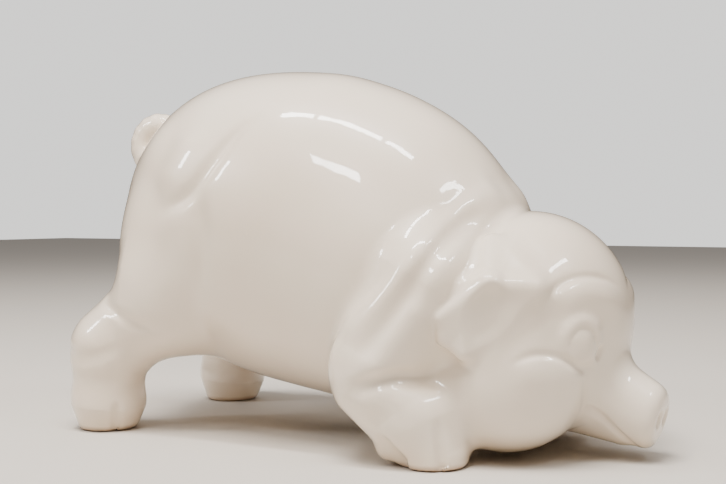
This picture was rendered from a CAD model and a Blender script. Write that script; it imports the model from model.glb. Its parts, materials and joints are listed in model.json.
"""Looks of the ceramic pig coin bank: one glazed sculpture parted into its castings, and a rubber stopper.

The ceramic is modelled as one skin: the zero surface of a distance field made of ellipsoids, tapered
limbs and thin plates, with folds and creases pressed into it.  The skin is meshed, parted where one
casting meets the next, and each casting gets its wall.  Sculpture lengths are millimetres, measured
from the point on the floor under the middle of the pig.
"""
import json
import math

import bpy
import numpy as np
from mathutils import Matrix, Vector

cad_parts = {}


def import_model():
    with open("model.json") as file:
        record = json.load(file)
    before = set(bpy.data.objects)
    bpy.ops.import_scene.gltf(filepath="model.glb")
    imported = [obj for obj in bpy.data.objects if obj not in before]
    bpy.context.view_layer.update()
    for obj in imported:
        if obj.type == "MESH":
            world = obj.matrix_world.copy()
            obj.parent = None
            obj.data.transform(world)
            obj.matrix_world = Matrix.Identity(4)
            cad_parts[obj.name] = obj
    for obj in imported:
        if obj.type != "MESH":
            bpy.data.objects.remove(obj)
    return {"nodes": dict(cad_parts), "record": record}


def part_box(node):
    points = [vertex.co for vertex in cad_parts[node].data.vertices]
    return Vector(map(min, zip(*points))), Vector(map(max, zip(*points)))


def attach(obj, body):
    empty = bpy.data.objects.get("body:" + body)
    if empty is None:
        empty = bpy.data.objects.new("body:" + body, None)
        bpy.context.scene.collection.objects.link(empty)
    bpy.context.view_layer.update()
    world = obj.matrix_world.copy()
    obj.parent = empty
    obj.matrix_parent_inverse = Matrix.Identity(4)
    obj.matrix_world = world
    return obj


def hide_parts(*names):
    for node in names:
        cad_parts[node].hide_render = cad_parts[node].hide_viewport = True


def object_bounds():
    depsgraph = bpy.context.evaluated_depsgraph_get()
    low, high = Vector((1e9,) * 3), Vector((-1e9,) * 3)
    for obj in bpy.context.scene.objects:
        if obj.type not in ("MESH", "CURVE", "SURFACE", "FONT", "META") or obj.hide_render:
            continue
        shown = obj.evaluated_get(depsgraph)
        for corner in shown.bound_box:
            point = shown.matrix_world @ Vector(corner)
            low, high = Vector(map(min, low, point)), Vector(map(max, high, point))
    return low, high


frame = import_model()
cad_low, cad_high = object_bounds()

# ---------------------------------------------------------------- the frame, in millimetres
MM = 0.001
DESIGN_LENGTH = 364.5               # length of the pig that the sculpture's numbers describe


def millimetres(point):
    return np.array(point, float) / MM


frame_low, frame_high = millimetres(cad_low), millimetres(cad_high)
SCALE = (frame_high[0] - frame_low[0]) / DESIGN_LENGTH
BASE = np.array([(frame_low[0] + frame_high[0]) / 2, (frame_low[1] + frame_high[1]) / 2, frame_low[2]])


def design(point):
    """A point of the shared frame, in the sculpture's own coordinates."""
    return (millimetres(point) - BASE) / SCALE


def box_centre(node):
    low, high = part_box(node)
    return design((low + high) / 2)


mounts = {m["name"]: design(m["pos_m"]) for m in frame["record"]["mounts"]}
openings = {o["name"]: o["box_m"] for o in frame["record"]["physics"]["openings"]}

TRUNK, HEAD = box_centre("trunk_casting"), box_centre("head_casting")
REAR_FOOT = mounts["rear_right_sole"]
FORE_FOOT = mounts["fore_right_sole"]
TAIL_LOW, TAIL_HIGH = [design(c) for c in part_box("tail")]
TAIL_REACH = 21.5                   # from the middle of the tail's curl to its outside
TAIL = np.array([TAIL_LOW[0] + TAIL_REACH, 0, TAIL_HIGH[2] - TAIL_REACH])
STOPPER_LOW, STOPPER_HIGH = [design(c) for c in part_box("belly_stopper")]
STOPPER = (STOPPER_LOW + STOPPER_HIGH) / 2
SLOT = (design(openings["coin_slot"][0]) + design(openings["coin_slot"][1])) / 2

SLOT_LENGTH, SLOT_WIDTH = 44.0, 5.0
HOLE_RADIUS, SEAT_RADIUS, FLANGE_THICKNESS = 20.0, 26.0, 3.0
SEAT_Z = STOPPER_LOW[2] + FLANGE_THICKNESS
BACK_Z = SEAT_Z + 60                # between the belly and the back: the slot is above it
BOSS = 14.0                         # height of the thick ring inside the belly
WALL = 6.0

# ---------------------------------------------------------------- distance fields
# Every field takes points as an (n, 3) array and gives one distance per point, negative inside.


def pitched(degrees):
    """Axes of a form turned about +Y, as the columns of a matrix."""
    c, s = math.cos(math.radians(degrees)), math.sin(math.radians(degrees))
    return np.array([[c, 0, s], [0, 1, 0], [-s, 0, c]])


def ellipsoid(p, centre, radii, pitch=0.0):
    d = (p - centre) @ pitched(pitch) / radii
    near = np.sqrt((d * d).sum(1))
    d /= radii
    return near * (near - 1) / (np.sqrt((d * d).sum(1)) + 1e-9)


def limb(p, start, end, start_radius, end_radius):
    start, axis = np.array(start, float), np.subtract(end, start).astype(float)
    d = p - start
    share = np.clip(d @ axis / (axis @ axis), 0, 1)
    d -= share[:, None] * axis
    return np.sqrt((d * d).sum(1)) - (start_radius + (end_radius - start_radius) * share)


def path_distance(p, path):
    """Distance to a polyline."""
    best = limb(p, path[0], path[1], 0, 0)
    for a, b in zip(path[1:], path[2:]):
        best = np.minimum(best, limb(p, a, b, 0, 0))
    return best


def plate(p, a, b, c, thickness):
    """A triangular plate with round edges."""
    a, b, c = (np.array(v, float) for v in (a, b, c))
    normal = np.cross(b - a, a - c)
    normal /= np.linalg.norm(normal)
    inside = np.ones(len(p), bool)
    for start, end in ((a, b), (b, c), (c, a)):
        inside &= (p - start) @ np.cross(end - start, normal) > 0
    flat = np.abs((p - a) @ normal)
    edge = path_distance(p, [a, b, c, a])
    return np.where(inside, flat, edge) - thickness / 2


def blend(a, b, width):
    """Union with a fillet."""
    overlap = np.maximum(width - np.abs(a - b), 0) / width
    return np.minimum(a, b) - overlap * overlap * width / 4


def carve(a, b, width):
    """a without b, with a rounded edge."""
    return -blend(-a, b, width)


def beside(p, path, width, fading):
    """How near each point is to a path: 1 on it, 0 well beside it, fading to both its ends if asked."""
    reach = 2.6 * width
    near = ((p > path.min(0) - reach) & (p < path.max(0) + reach)).all(1)
    q = p[near]
    gap, place = np.full(len(q), np.inf), np.zeros(len(q))
    for i, (a, b) in enumerate(zip(path, path[1:])):
        along = np.clip((q - a) @ (b - a) / ((b - a) @ (b - a)), 0, 1)
        square = ((q - a - along[:, None] * (b - a)) ** 2).sum(1)
        closer = square < gap
        gap[closer] = square[closer]
        place[closer] = (i + along[closer]) / (len(path) - 1)
    out = np.zeros(len(p))
    out[near] = np.exp(-gap / width**2)
    if fading:
        fade = np.minimum(3 * np.minimum(place, 1 - place), 1)
        out[near] *= fade * fade * (3 - 2 * fade)
    return out


TETRAHEDRON = np.array([(1, -1, -1), (-1, -1, 1), (-1, 1, -1), (1, 1, 1)], float)
PROBE = 0.08                        # half step of the slope measurement


def slope(field, p):
    """Value and gradient of a field."""
    values = np.stack([field(p + PROBE * corner) for corner in TETRAHEDRON])
    return values.mean(0), values.T @ TETRAHEDRON / (4 * PROBE)


# ---------------------------------------------------------------- the castings
# Each is modelled on the pig's right side, with lengths measured from the middle of its CAD part or
# from its foot.


def trunk(p):
    p = p - TRUNK
    d = blend(ellipsoid(p, (-54, 0, 10), (84, 76, 87)), ellipsoid(p, (-2, 0, 3), (112, 88, 98), 9), 24)
    d = blend(d, ellipsoid(p, (66, 0, -26), (72, 80, 74), 35), 34)
    d = blend(d, ellipsoid(p, (57, 0, 26), (49, 50, 43), 30), 28)
    d = blend(d, ellipsoid(p, (-77, -38, -16), (42, 44, 58), -8), 10)
    d = blend(d, ellipsoid(p, (-77, -36, 42), (24, 26, 26)), 10)
    return blend(d, ellipsoid(p, (84, 0, -35), (38, 75, 72), 30), 6)


def rear_leg(p):
    p = p - REAR_FOOT
    d = blend(limb(p, (31, 11, 80), (5, 1, 54), 26, 24), limb(p, (1, 0, 46), (0, 0, 24), 23, 21), 12)
    d = blend(d, limb(p, (1, 0, 15), (0, 0, 2), 22.5, 18.5), 8)
    return carve(d, p[:, 2], 4)


def fore_leg(p):
    p = p - FORE_FOOT
    upper = limb(p, (-9, 12, 96), (-30, -2, 54), 31, 26.5)
    d = blend(upper, limb(p, (-30, -2, 45), (-14, -2, 26), 26.5, 22), 6)
    d = blend(d, limb(p, (-6, -1, 22), (2, 0, 4), 21, 18.5), 8)
    d = blend(d, limb(p, (-16, -8, 22), (-19.5, -8, 10), 9, 8), 3)
    return carve(d, p[:, 2], 4)


def head(p):
    p = p - HEAD
    d = blend(ellipsoid(p, (-15, 0, 3), (58, 64, 61)), ellipsoid(p, (-18, -34, -30), (44, 37, 38)), 22)
    snout_end = np.array((61, 0, -51))
    face = (p - snout_end) @ (0.965, 0, -0.262)
    snout = -blend(-limb(p, (17, 0, -31), snout_end, 24, 17), -face, 8)
    snout = carve(snout, ellipsoid(p, snout_end + (2, -6, 2), (4, 3.2, 5), 15), 3)
    d = blend(d, snout, 12)
    return blend(d, limb(p, (-1, 0, -38), (40, 0, -52), 20, 13), 3)


def ear(p):
    """A fan of thin plates round a knee, hollow below, with its tip towards the shoulder.

    Points beyond its reach get only their distance to a sphere round the knee.
    """
    thickness, crease, reach, margin = 8, 6, 40, 30
    p = p - HEAD
    knee, root, crown = (-11, -69, 25), (8, -57, 23), (-20, -45, 45)
    heel, tip, edge, lobe = (-38, -70, 21), (-34, -77, 8), (-33, -75, -2), (-24, -72, -9)
    rim = (root, crown, heel, tip, edge, lobe)
    d = np.linalg.norm(p - knee, axis=1) - reach
    near = d < margin
    flap = plate(p[near], knee, rim[-1], rim[0], thickness)
    for a, b in zip(rim, rim[1:]):
        flap = blend(flap, plate(p[near], knee, a, b, thickness), crease)
    hollow = np.linalg.norm(p[near] - (9, -103, 3), axis=1) - 40
    d[near] = carve(flap, hollow, 1.5)
    return d


def tail(p):
    """A fat roll of clay, curled once, with its centre filled."""
    p = p - TAIL
    turn = np.radians(np.arange(-90, -451, -24))
    share = np.linspace(0, 1, len(turn))
    radius, roll = 12.5 - 8 * share**3, 9.5 - 3.5 * share**3
    path = np.stack([radius * np.cos(turn), -5 + 8 * share, radius * np.sin(turn)], 1)
    d = limb(p, (22, 0, -14), path[0], 10, roll[0])
    for a, b, start_radius, end_radius in zip(path, path[1:], roll, roll[1:]):
        d = blend(d, limb(p, a, b, start_radius, end_radius), 1.0)
    return blend(d, ellipsoid(p, (0, -1, 0), (13, 8, 13)), 2)


CASTINGS = (trunk, head, rear_leg, fore_leg, ear, tail)


def widening(p, start, rate, narrow, wide):
    """Fillet width that grows from narrow to wide along +X, beginning at start."""
    return np.clip(narrow + rate * (p[:, 0] - start), narrow, wide)


def fillet(casting, p):
    """Width of the fillet between a casting and those before it."""
    if casting is rear_leg:
        return widening(p, REAR_FOOT[0] + 4, 0.9, 8, 26)
    if casting is fore_leg:
        return widening(p, FORE_FOOT[0] - 25, 0.4, 7, 16)
    if casting is ear:
        return widening(p, HEAD[0] - 30, 0.5, 2, 14)
    return 6.0


def on_right(p):
    """The same points, folded onto the pig's right side, where the sculpture is modelled."""
    return np.stack([p[:, 0], -np.abs(p[:, 1]), p[:, 2]], 1)


def casting_distances(p):
    right = on_right(p)
    return np.stack([casting(p if casting is tail else right) for casting in CASTINGS], 1)


def bare_skin(p):
    """The castings luted together, before any fold is pressed in."""
    distances = casting_distances(p).T
    d = distances[0]
    right = on_right(p)
    for casting, distance in zip(CASTINGS[1:], distances[1:]):
        d = blend(d, distance, fillet(casting, right))
    return d


# ---------------------------------------------------------------- folds, lids and clefts
CURVE_POINTS = 14


def laid_on_skin(path):
    """A path moved onto the bare skin and smoothed where it crosses from one mass to the next."""
    for _ in range(4):
        value, gradient = slope(bare_skin, path)
        path = path - gradient * (value / (gradient**2).sum(1))[:, None]
    for _ in range(4):
        path[1:-1] = (path[:-2] + 2 * path[1:-1] + path[2:]) / 4
    return path


def curve(anchor, *controls):
    """A Bezier curve over the skin; its control points are measured from an anchor."""
    share = np.linspace(0, 1, CURVE_POINTS)[:, None]
    rows = [np.array(c, float) + anchor + 0 * share for c in controls]
    while len(rows) > 1:
        rows = [a + (b - a) * share for a, b in zip(rows, rows[1:])]
    return laid_on_skin(rows[0])


EYE = laid_on_skin(np.array([HEAD + (29.5, -41, -6)]))[0]
EYE_OUT = slope(bare_skin, EYE[None])[1][0]
EYE_OUT /= np.linalg.norm(EYE_OUT)
EYE_FORWARD = np.cross(EYE_OUT, (0, 0, -1))
EYE_FORWARD /= np.linalg.norm(EYE_FORWARD)
EYE_UP = np.cross(EYE_OUT, EYE_FORWARD)
EYEBALL_RADIUS, EYEBALL_DEPTH = 18.0, 15.4
EYEBALL = EYE - EYEBALL_DEPTH * EYE_OUT


def eye_arc(radius, start, end):
    """An arc over the skin round the eye; 0 degrees is towards the snout and 90 is up."""
    turn = np.radians(np.linspace(start, end, CURVE_POINTS))[:, None]
    return laid_on_skin(EYE + radius * (np.cos(turn) * EYE_FORWARD + np.sin(turn) * EYE_UP))


# (path, width, depth): a fold presses in, and a negative depth raises a ridge; both fade to their ends
FOLDS = (
    # where the shoulder roll rises from the belly, and the fold behind the ear
    (curve(TRUNK, (120, 0, 36), (116, -62, 29), (102, -110, -26), (54, -82, -47)), 9, 2.0),
    (curve(TRUNK, (126, -20, 20), (112, -72, 8), (118, -96, -20), (70, -98, -74)), 6, 3.4),
    # hip knob's rim towards the belly, and the ham's front edge
    (curve(TRUNK, (-2, -60, 74), (-34, -82, 54), (-26, -92, 17), (-70, -82, 14)), 5, 2.8),
    (curve(TRUNK, (-38, -88, 34), (-30, -90, 7), (-28, -88, -13), (-44, -76, -46)), 7, 2.4),
    # rear leg: the folds over and under its knob, and the cleft
    (curve(REAR_FOOT, (4, -14, 80), (20, -20, 80), (34, -19, 68), (54, -12, 60)), 3.6, 2.4),
    (curve(REAR_FOOT, (-24, -8, 52), (-10, -26, 48), (8, -26, 40), (32, -14, 58)), 4.8, 1.7),
    (curve(REAR_FOOT, (18, -14, 22), (20, -14, -8)), 2.8, 2.2),
    # fore leg: the crook of the elbow, the cleft and the notch over the dewclaw
    (curve(FORE_FOOT, (-38, -27, 38), (-22, -28, 50), (-9, -20, 53), (9, 0, 44)), 4.8, 4.2),
    (curve(FORE_FOOT, (9, -12, 30), (14, -14, 12), (16, -15, -10)), 3.0, 2.4),
    (curve(FORE_FOOT, (-20, -18, 22), (-12, -19, 11), (-4, -17, -8)), 4.0, 3.5),
    # brow: a fold, and the swell under it
    (curve(HEAD, (8, -57, 14), (20, -46, 32), (32, -28, 34), (42, -2, 20)), 2.6, 1.0),
    (curve(HEAD, (14, -54, 8), (26, -44, 25), (34, -28, 26), (44, -2, 6)), 7, -1.7),
    # eye: the thick upper lid, the groove under it, the inner corner and the pouch below
    (eye_arc(13.2, -25, 210), 3.6, -2.2),
    (eye_arc(9.8, -50, 225), 2.0, 1.1),
    (eye_arc(14, -45, 0), 2.6, 1.5),
    (eye_arc(13.5, 195, 310), 3.2, 1.1),
    # cheek's upper fold, the mouth, and the wrinkle beside the snout
    (curve(HEAD, (-2, -68, -18), (10, -63, -6), (20, -54, -8), (34, -38, -22)), 2.4, 1.2),
    (curve(HEAD, (24, -29, -38), (33, -23, -45), (38, -18, -55), (54, -2, -66)), 2.0, 2.6),
    (curve(HEAD, (33, -34, -10), (29, -40, -26), (27, -34, -38), (25, -24, -46)), 4, 1.1),
)

# (path, width, height): broad swells of the shoulder roll, the roll below it, the forearm, the hip's
# crown, the ham and the cheek
SWELLS = (
    (curve(TRUNK, (118, -24, 26), (117, -66, 24), (105, -112, -25), (72, -92, -44)), 11, 2.4),
    (curve(TRUNK, (88, -93, -66), (98, -92, -55), (107, -87, -40)), 8, 2.6),
    (curve(FORE_FOOT, (-24, -28, 36), (-8, -24, 38)), 8, 1.6),
    (curve(TRUNK, (-58, -78, 37), (-52, -76, 51)), 13, 2.5),
    (curve(TRUNK, (-57, -86, 2), (-54, -84, -22)), 15, 2.0),
    (curve(HEAD, (9, -64, -21), (24, -50, -22)), 8, 1.8),
)


def slot_distance(p):
    """Distance outside the coin slot's outline, seen from above."""
    along = np.maximum(np.abs(p[:, 0] - SLOT[0]) - (SLOT_LENGTH - SLOT_WIDTH) / 2, 0)
    return np.hypot(along, p[:, 1]) - SLOT_WIDTH / 2


def hole_distance(p, radius=HOLE_RADIUS):
    """Distance outside a round hole in the belly, seen from below."""
    return np.hypot(p[:, 0] - STOPPER[0], p[:, 1]) - radius


def skin(p):
    """The whole ceramic, glazed into one surface."""
    d = bare_skin(p)
    right = on_right(p)
    d = blend(d, np.linalg.norm(right - EYEBALL, axis=1) - EYEBALL_RADIUS, 2.5)
    for path, width, depth in FOLDS:
        d = d + depth * beside(right, path, width, True)
    for path, width, height in SWELLS:
        d = d - height * beside(right, path, width, False)
    lip = np.exp(-((np.maximum(slot_distance(p), 0) / 1.8) ** 2))
    d = d + np.where(p[:, 2] > BACK_Z, 1.1 * lip, 0)
    seat = np.maximum(hole_distance(p, SEAT_RADIUS), p[:, 2] - SEAT_Z)
    return carve(d, seat, 1.5)


# ---------------------------------------------------------------- meshing the skin
CELL = 2.0                          # grid step of the first mesh
BLOCK = 8                           # grid steps along a block's side
MARGIN = 12.0                       # empty space kept round the pig


def sample(low, blocks):
    """The skin's field on a grid, worked out only in blocks that may hold some of the surface."""
    block_size = BLOCK * CELL
    index = np.stack(np.meshgrid(*[np.arange(n) for n in blocks], indexing="ij"), -1).reshape(-1, 3)
    rough = skin(low + (index + 0.5) * block_size)
    grid = np.where(rough < 0, -block_size, block_size).reshape(blocks)
    for axis in range(3):
        grid = np.repeat(grid, BLOCK, axis)
    offsets = np.stack(np.meshgrid(*[np.arange(BLOCK)] * 3, indexing="ij"), -1).reshape(-1, 3)
    for start in index[np.abs(rough) < block_size * 1.1] * BLOCK:
        cells = start + offsets
        grid[tuple(cells.T)] = skin(low + cells * CELL)
    return grid


def surface_nets(grid, low):
    """Vertices and quads of the grid's zero surface, one vertex for each cell that it crosses."""
    inside = grid < 0
    corners = [(i, j, k) for i in (0, 1) for j in (0, 1) for k in (0, 1)]
    size = np.array(grid.shape) - 1
    count = np.zeros(size, np.int8)
    for i, j, k in corners:
        count += inside[i:i + size[0], j:j + size[1], k:k + size[2]]
    crossed = (count > 0) & (count < 8)
    cells = np.argwhere(crossed)
    number = np.full(crossed.shape, -1)
    number[crossed] = np.arange(len(cells))
    total, hits = np.zeros((len(cells), 3)), np.zeros(len(cells))
    for corner in corners:
        for axis in range(3):
            if corner[axis]:
                continue
            step = np.eye(3, dtype=int)[axis]
            a, b = grid[tuple((cells + corner).T)], grid[tuple((cells + corner + step).T)]
            cut = (a < 0) != (b < 0)
            share = np.where(cut, a / np.where(cut, a - b, 1), 0)
            total[cut] += (np.array(corner) + step * share[:, None])[cut]
            hits[cut] += 1
    vertices = low + (cells + total / hits[:, None]) * CELL
    quads = []
    for axis in range(3):
        step = np.eye(3, dtype=int)[axis]
        u, v = np.eye(3, dtype=int)[(axis + 1) % 3], np.eye(3, dtype=int)[(axis + 2) % 3]
        head_end = tuple(slice(s, None) for s in step)
        tail_end = tuple(slice(None, -s or None) for s in step)
        edges = np.argwhere(inside[tail_end] != inside[head_end])
        edges = edges[((edges > 0) | (step == 1)).all(1)]
        ring = np.stack([number[tuple((edges - o).T)] for o in (0 * u, u, u + v, v)], 1)
        leaving = inside[tuple(edges.T)]
        ring[~leaving] = ring[~leaving][:, ::-1]
        quads.append(ring)
    return vertices, np.concatenate(quads)


def settle(p, rounds, reach):
    """Moves points onto the skin, at most reach a round, and gives its normals there."""
    for _ in range(rounds):
        value, gradient = slope(skin, p)
        step = np.clip(value / np.maximum((gradient**2).sum(1), 0.1), -reach, reach)
        p = p - gradient * step[:, None]
    gradient = slope(skin, p)[1]
    return p, gradient / np.maximum(np.linalg.norm(gradient, axis=1), 1e-6)[:, None]


def refine(vertices, faces, chosen):
    """Splits chosen quads into four; the faces beside them take in the new points on their edges."""
    points, middles = list(vertices), {}

    def middle(a, b):
        key = (a, b) if a < b else (b, a)
        if key not in middles:
            middles[key] = len(points)
            points.append((points[a] + points[b]) / 2)
        return middles[key]

    out = []
    for face, split in zip(faces, chosen):
        if split and len(face) == 4:
            sides = [middle(a, b) for a, b in zip(face, face[1:] + face[:1])]
            points.append(sum(points[v] for v in face) / 4)
            out += [[face[i], sides[i], len(points) - 1, sides[i - 1]] for i in range(4)]
        else:
            out.append(face)
    whole = []
    for face in out:
        ring = []
        for a, b in zip(face, face[1:] + face[:1]):
            ring.append(a)
            extra = middles.get((a, b) if a < b else (b, a))
            if extra is not None:
                ring.append(extra)
        whole.append(ring)
    return np.array(points), whole


def centres(vertices, faces):
    return np.array([vertices[f].mean(0) for f in faces])


def edge_array(faces):
    pairs = np.array([(a, b) for f in faces for a, b in zip(f, f[1:] + f[:1])])
    return np.unique(np.sort(pairs, axis=1), axis=0)


def relax(vertices, edges, fixed, rounds, share=0.5):
    """Evens out a mesh by moving each free vertex towards the middle of its neighbours."""
    count = np.bincount(edges.ravel(), minlength=len(vertices))[:, None]
    free = ~fixed & (count[:, 0] > 0)
    for _ in range(rounds):
        total = np.zeros_like(vertices)
        np.add.at(total, edges[:, 0], vertices[edges[:, 1]])
        np.add.at(total, edges[:, 1], vertices[edges[:, 0]])
        moved = vertices + share * (total / np.maximum(count, 1) - vertices)
        vertices = np.where(free[:, None], moved, vertices)
    return vertices


# ---------------------------------------------------------------- parting the skin
VOID_SLOT, VOID_HOLE = len(CASTINGS), len(CASTINGS) + 1


def regions(p):
    """Which casting each point belongs to, or which opening."""
    region = casting_distances(p).argmin(1)
    region[(slot_distance(p) < 0) & (p[:, 2] > BACK_Z)] = VOID_SLOT
    region[(hole_distance(p) < 0) & (p[:, 2] < SEAT_Z + 2)] = VOID_HOLE
    return region


def parting(p, first, second):
    """A field that is zero where the two regions meet."""
    if VOID_SLOT in (first, second):
        return slot_distance(p)
    if VOID_HOLE in (first, second):
        return hole_distance(p)
    distances = casting_distances(p)
    return distances[:, first] - distances[:, second]


def snap(vertices, faces, region):
    """Moves the vertices between two regions onto the line where they meet."""
    touching = {}
    for face, name in zip(faces, region):
        for v in face:
            touching.setdefault(v, set()).add(int(name))
    border = {v: tuple(sorted(names)[-2:]) for v, names in touching.items() if len(names) > 1}
    for pair in set(border.values()):
        ids = np.array([v for v, names in border.items() if names == pair])
        p = vertices[ids]
        for _ in range(5):
            skin_value, skin_slope = slope(skin, p)
            part_value, part_slope = slope(lambda q: parting(q, *pair), p)
            jacobian = np.stack([skin_slope, part_slope], 1)
            square = jacobian @ jacobian.transpose(0, 2, 1) + 1e-3 * np.eye(2)
            step = np.linalg.solve(square, np.stack([skin_value, part_value], 1)[..., None])
            move = -(jacobian.transpose(0, 2, 1) @ step)[..., 0]
            size = np.linalg.norm(move, axis=1)[:, None]
            p = p + move * np.minimum(1, 0.8 * CELL / np.maximum(size, 1e-9))
        vertices[ids] = p
    return border


def build_skin():
    """The finished skin: vertices, normals, inner vertices, faces and each face's region."""
    half_blocks = int(math.ceil((frame_high[1] - frame_low[1]) / 2 / SCALE + MARGIN) / (BLOCK * CELL)) + 1
    low = (frame_low - BASE) / SCALE - MARGIN
    low[1] = -half_blocks * BLOCK * CELL
    high = (frame_high - BASE) / SCALE + MARGIN
    blocks = [int(math.ceil((high[0] - low[0]) / (BLOCK * CELL))), half_blocks,
              int(math.ceil((high[2] - low[2]) / (BLOCK * CELL)))]
    right = sample(low, blocks)
    middle = skin(np.stack([a.ravel() for a in np.meshgrid(
        low[0] + CELL * np.arange(right.shape[0]), [0.0],
        low[2] + CELL * np.arange(right.shape[2]), indexing="ij")], 1)).reshape(right.shape[0], 1, -1)
    grid = np.concatenate([right, middle, right[:, ::-1]], 1)
    vertices, quads = surface_nets(grid, low)
    faces = quads.tolist()
    vertices = settle(vertices, 2, CELL / 2)[0]
    for chosen in (fine_places, finest_places):
        vertices, faces = refine(vertices, faces, chosen(centres(vertices, faces)))
    vertices = settle(vertices, 2, CELL / 2)[0]
    region = regions(centres(vertices, faces))
    border = snap(vertices, faces, region)
    fixed = np.zeros(len(vertices), bool)
    fixed[list(border)] = True
    edges = edge_array(faces)
    vertices = relax(vertices, edges, fixed, 2)
    settled, normals = settle(vertices, 2, CELL / 2)
    vertices = np.where(fixed[:, None], vertices, settled)
    inner = vertices - normals * WALL
    for v, pair in border.items():
        if VOID_SLOT in pair:
            inner[v] = vertices[v] - (0, 0, WALL)
        elif VOID_HOLE in pair:
            inner[v] = vertices[v] + (0, 0, BOSS)
    opening = np.zeros(len(vertices), bool)
    opening[[v for v, pair in border.items() if pair[-1] in (VOID_SLOT, VOID_HOLE)]] = True
    inner = relax(inner, edges, opening, 14)
    return vertices, normals, inner, faces, region


def near_folds(p, narrower_than, reach):
    """Points near the folds that are narrow enough to need a fine mesh."""
    right = on_right(p)
    near = np.zeros(len(p), bool)
    for path, width, _ in FOLDS:
        if width < narrower_than:
            near |= path_distance(right, path) < reach
    return near


def fine_places(p):
    """Where the first mesh is split once: the head, the ears, the hooves and the openings."""
    hooves = (p[:, 2] < 30) & (np.abs(p[:, 1]) > 40)
    slot = (slot_distance(p) < 8) & (p[:, 2] > BACK_Z)
    seat = (hole_distance(p, SEAT_RADIUS) < 4) & (p[:, 2] < SEAT_Z + 10)
    curl = (p[:, 0] < TAIL[0] + 14) & (p[:, 2] > TAIL[2] - 22)
    return (p[:, 0] > HEAD[0] - 38) | near_folds(p, 6, 8) | hooves | slot | seat | curl


def finest_places(p):
    """Where it is split again: the eyes, the mouth, the nostrils and the slot's lip."""
    face = (p[:, 0] > HEAD[0] + 10) & near_folds(p, 3, 5)
    eye = np.linalg.norm(on_right(p) - EYE, axis=1) < 12
    nostril = p[:, 0] > HEAD[0] + 53
    slot = (slot_distance(p) < 3) & (p[:, 2] > BACK_Z)
    return face | eye | nostril | slot


# ---------------------------------------------------------------- pieces
def make_object(name, vertices, faces, loop_normals, material):
    mesh = bpy.data.meshes.new(name)
    mesh.from_pydata((np.array(vertices) * SCALE + BASE) * MM, [], faces)
    mesh.update()
    mesh.polygons.foreach_set("use_smooth", [True] * len(mesh.polygons))
    mesh.normals_split_custom_set(loop_normals)
    mesh.materials.append(material)
    piece = bpy.data.objects.new(name, mesh)
    bpy.context.scene.collection.objects.link(piece)
    return piece


def face_normals(vertices, faces):
    out = np.zeros((len(faces), 3))
    for i, face in enumerate(faces):
        ring = vertices[face]
        out[i] = np.cross(ring, np.roll(ring, -1, 0)).sum(0)
    return out / np.maximum(np.linalg.norm(out, axis=1), 1e-9)[:, None]


def vertex_normals(vertices, faces, normals_of_faces):
    total = np.zeros_like(vertices)
    for face, normal in zip(faces, normals_of_faces):
        total[face] += normal
    return total / np.maximum(np.linalg.norm(total, axis=1), 1e-9)[:, None]


def casting_piece(name, outer, normals, inner, faces, solid, material):
    """One casting as a closed mesh: its part of the skin, and either a wall's inside or a plain cap."""
    used = sorted({v for f in faces for v in f})
    local = {v: i for i, v in enumerate(used)}
    faces = [[local[v] for v in f] for f in faces]
    outer, normals, inner = outer[used], normals[used], inner[used]
    directed = {(a, b) for f in faces for a, b in zip(f, f[1:] + f[:1])}
    rim = [(a, b) for a, b in directed if (b, a) not in directed]
    loop_normals = [normals[v] for f in faces for v in f]
    if solid:
        middle = inner[[a for a, _ in rim]].mean(0)
        vertices = np.vstack([outer, middle])
        closing = [[b, a, len(outer)] for a, b in rim]
    else:
        count = len(outer)
        vertices = np.vstack([outer, inner])
        inside = [[v + count for v in f[::-1]] for f in faces]
        soft = vertex_normals(vertices, inside, face_normals(vertices, inside))
        loop_normals += [soft[v] for f in inside for v in f]
        faces = faces + inside
        closing = [[b, a, a + count, b + count] for a, b in rim]
    for face, normal in zip(closing, face_normals(vertices, closing)):
        loop_normals += [normal] * len(face)
    return make_object(name, vertices, faces + closing, loop_normals, material)


# ---------------------------------------------------------------- materials
def new_material(name):
    material = bpy.data.materials.new(name)
    material.use_nodes = True
    nodes, links = material.node_tree.nodes, material.node_tree.links
    return material, nodes, links, nodes["Principled BSDF"]


def noise(nodes, links, source, scale, detail):
    node = nodes.new("ShaderNodeTexNoise")
    node.inputs["Scale"].default_value = scale
    node.inputs["Detail"].default_value = detail
    links.new(source, node.inputs["Vector"])
    return node.outputs["Fac"]


def ramp(nodes, links, source, stops):
    node = nodes.new("ShaderNodeValToRGB")
    elements = node.color_ramp.elements
    for element, (position, colour) in zip(elements, (stops[0], stops[-1])):
        element.position = position
        element.color = (*colour, 1)
    for position, colour in stops[1:-1]:
        elements.new(position).color = (*colour, 1)
    links.new(source, node.inputs["Fac"])
    return node.outputs["Color"]


def mix(nodes, links, factor, first, second, mode="MIX"):
    node = nodes.new("ShaderNodeMix")
    node.data_type = "RGBA"
    node.blend_type = mode
    for name, value in (("Factor", factor), ("A", first), ("B", second)):
        socket = next(s for s in node.inputs if s.name == name and s.enabled)
        if isinstance(value, (float, tuple)):
            socket.default_value = value if isinstance(value, float) else (*value, 1)
        else:
            links.new(value, socket)
    return next(s for s in node.outputs if s.enabled)


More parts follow.
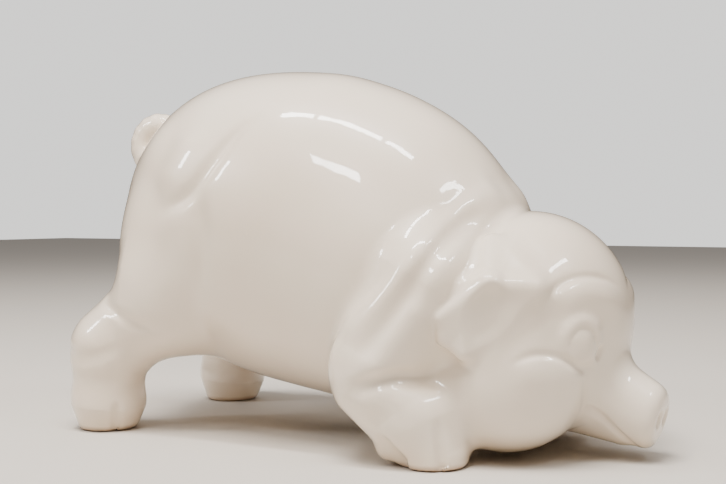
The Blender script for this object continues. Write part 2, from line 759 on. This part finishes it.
def white_glaze():
    """Warm white glaze: creamier in hollows, rare dark pinholes, and bare clay round the soles."""
    material, nodes, links, shader = new_material("white_glaze")
    place = nodes.new("ShaderNodeTexCoord").outputs["Object"]
    tone = ramp(nodes, links, noise(nodes, links, place, 9.0, 3.0),
                [(0.35, (0.88, 0.75, 0.61)), (0.65, (0.92, 0.81, 0.68))])
    shade = nodes.new("ShaderNodeAmbientOcclusion")
    shade.inputs["Distance"].default_value = 0.02
    shade.samples = 8
    hollow = ramp(nodes, links, shade.outputs["AO"], [(0.2, (0.90, 0.85, 0.75)), (0.9, (1, 1, 1))])
    colour = mix(nodes, links, 1.0, tone, hollow, "MULTIPLY")
    spots = nodes.new("ShaderNodeTexVoronoi")
    spots.inputs["Scale"].default_value = 15.0
    links.new(place, spots.inputs["Vector"])
    pinhole = ramp(nodes, links, spots.outputs["Distance"], [(0.006, (1, 1, 1)), (0.011, (0, 0, 0))])
    colour = mix(nodes, links, pinhole, colour, (0.16, 0.11, 0.07))
    height = nodes.new("ShaderNodeSeparateXYZ")
    links.new(place, height.inputs[0])
    bare = ramp(nodes, links, height.outputs["Z"], [(0.0015, (1, 1, 1)), (0.003, (0, 0, 0))])
    links.new(mix(nodes, links, bare, colour, (0.50, 0.33, 0.20)), shader.inputs["Base Color"])
    shader.inputs["Roughness"].default_value = 0.32
    shader.inputs["Coat Weight"].default_value = 1.0
    shader.inputs["Coat Roughness"].default_value = 0.035
    shader.inputs["Coat IOR"].default_value = 1.5
    wave = nodes.new("ShaderNodeBump")
    wave.inputs["Strength"].default_value = 0.25
    wave.inputs["Distance"].default_value = 0.0006
    links.new(noise(nodes, links, place, 55.0, 2.0), wave.inputs["Height"])
    links.new(wave.outputs["Normal"], shader.inputs["Coat Normal"])
    return material


def stopper_rubber():
    """Dull off-white rubber with fine grain."""
    material, nodes, links, shader = new_material("stopper_rubber")
    place = nodes.new("ShaderNodeTexCoord").outputs["Object"]
    colour = ramp(nodes, links, noise(nodes, links, place, 60.0, 4.0),
                  [(0.3, (0.55, 0.51, 0.43)), (0.7, (0.63, 0.59, 0.51))])
    links.new(colour, shader.inputs["Base Color"])
    shader.inputs["Roughness"].default_value = 0.6
    grain = nodes.new("ShaderNodeBump")
    grain.inputs["Strength"].default_value = 0.3
    grain.inputs["Distance"].default_value = 0.0002
    links.new(noise(nodes, links, place, 900.0, 3.0), grain.inputs["Height"])
    links.new(grain.outputs["Normal"], shader.inputs["Normal"])
    return material


# ---------------------------------------------------------------- the pig
NODES = {                           # casting -> (node on the right or middle, node on the left)
    trunk: ("trunk_casting", "trunk_casting"),
    head: ("head_casting", "head_casting"),
    rear_leg: ("rear_right_leg", "rear_left_leg"),
    fore_leg: ("fore_right_leg", "fore_left_leg"),
    ear: ("right_ear", "left_ear"),
    tail: ("tail", "tail"),
}


def build_pig(glaze):
    vertices, normals, inner, faces, region = build_skin()
    side = centres(vertices, faces)[:, 1] > 0
    groups = {}
    for face, name, left in zip(faces, region, side):
        if name < len(CASTINGS):
            node = NODES[CASTINGS[name]][int(left)]
            groups.setdefault(node, []).append(face)
    for node, members in groups.items():
        solid = node in ("right_ear", "left_ear", "tail")
        piece = casting_piece(node + "_glazed", vertices, normals, inner, members, solid, glaze)
        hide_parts(node)
        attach(piece, "bank")


build_pig(white_glaze())
stopper_node = frame["nodes"]["belly_stopper"]
stopper_node.data.materials.clear()
stopper_node.data.materials.append(stopper_rubber())


# ---------------------------------------------------------------- floor, light and camera
def floor():
    mesh = bpy.data.meshes.new("floor")
    half, z = 4.0, float(cad_low.z)
    corners = [(-half, -half, z), (half, -half, z), (half, half, z), (-half, half, z)]
    mesh.from_pydata(corners, [], [(0, 1, 2, 3)])
    ground = bpy.data.objects.new("floor", mesh)
    bpy.context.scene.collection.objects.link(ground)
    material, _, _, shader = new_material("floor")
    shader.inputs["Base Color"].default_value = (0.60, 0.56, 0.51, 1)
    shader.inputs["Roughness"].default_value = 0.7
    mesh.materials.append(material)


def area_light(name, azimuth, elevation, distance, size, power, colour=(1, 1, 1), mirrored=True, shift=0):
    """It can be shifted sideways.  One that is not mirrored does not show in the glaze.
    """
    a, e = math.radians(azimuth), math.radians(elevation)
    back = Vector((math.sin(a) * math.cos(e), -math.cos(a) * math.cos(e), math.sin(e)))
    data = bpy.data.lights.new(name, "AREA")
    data.shape = "RECTANGLE"
    data.size, data.size_y = size
    data.energy = power
    data.color = colour
    lamp = bpy.data.objects.new(name, data)
    sideways = Vector((math.cos(a), math.sin(a), 0))
    lamp.location = (cad_low + cad_high) / 2 + back * distance + sideways * shift
    lamp.rotation_euler = (-back).to_track_quat("-Z", "Y").to_euler()
    lamp.visible_glossy = mirrored
    bpy.context.scene.collection.objects.link(lamp)


AIM = np.array([8.2, -23.5, 117.7])     # point of the sculpture that the camera looks at
FOCAL_LENGTH, SENSOR_WIDTH = 58.4, 36.0


def camera():
    """The camera stands at the pig's right, a little towards its head, just above half its height."""
    azimuth, pitch, distance = math.radians(29.0), math.radians(1.46), 0.7 * SCALE
    target = Vector((AIM * SCALE + BASE) * MM)
    level = math.cos(pitch)
    back = Vector((math.sin(azimuth) * level, -math.cos(azimuth) * level, math.sin(pitch)))
    data = bpy.data.cameras.new("camera")
    data.lens, data.sensor_width = FOCAL_LENGTH, SENSOR_WIDTH
    data.clip_start = 0.01
    eye = bpy.data.objects.new("camera", data)
    eye.location = target + back * distance
    eye.rotation_euler = (-back).to_track_quat("-Z", "Y").to_euler()
    bpy.context.scene.collection.objects.link(eye)
    bpy.context.scene.camera = eye


def world():
    """A bright ceiling over darker, warmer walls; the camera itself sees only a pale backdrop."""
    scene_world = bpy.data.worlds.new("studio")
    scene_world.use_nodes = True
    nodes, links = scene_world.node_tree.nodes, scene_world.node_tree.links
    height = nodes.new("ShaderNodeSeparateXYZ")
    links.new(nodes.new("ShaderNodeTexCoord").outputs["Generated"], height.inputs[0])
    room = ramp(nodes, links, height.outputs["Z"],
                [(0.0, (0.12, 0.085, 0.055)), (0.3, (0.25, 0.21, 0.17)), (0.85, (1.0, 0.98, 0.97))])
    seen = nodes.new("ShaderNodeLightPath").outputs["Is Camera Ray"]
    links.new(mix(nodes, links, seen, room, (2.6, 2.57, 2.50)), nodes["Background"].inputs["Color"])
    nodes["Background"].inputs["Strength"].default_value = 0.5
    bpy.context.scene.world = scene_world


floor()
world()
WARM = (1.0, 0.93, 0.85)
LAMP_DISTANCE = 1.5
PANE_STEP = 0.45
# a row of three panes overhead, which shows in the glaze as one broken streak
for pane in (-1, 0, 1):
    area_light(f"pane_{pane + 1}", 0, 80, LAMP_DISTANCE, (0.40, 0.09), 6, shift=pane * PANE_STEP)
# (name, azimuth, elevation, size, power): the other lights that show in the glaze
WINDOWS = (
    ("front_window", 0, 50, (0.20, 0.10), 3),
    ("left_window", -50, 30, (0.15, 0.30), 6),
    ("right_window", 90, 50, (0.40, 0.08), 4),
)
for name, azimuth, elevation, size, power in WINDOWS:
    area_light(name, azimuth, elevation, LAMP_DISTANCE, size, power)
area_light("key", 0, 70, 1.6, (0.8, 0.6), 40, WARM, mirrored=False)
area_light("rim", 200, 50, 1.8, (0.9, 0.9), 8, WARM, mirrored=False)
camera()
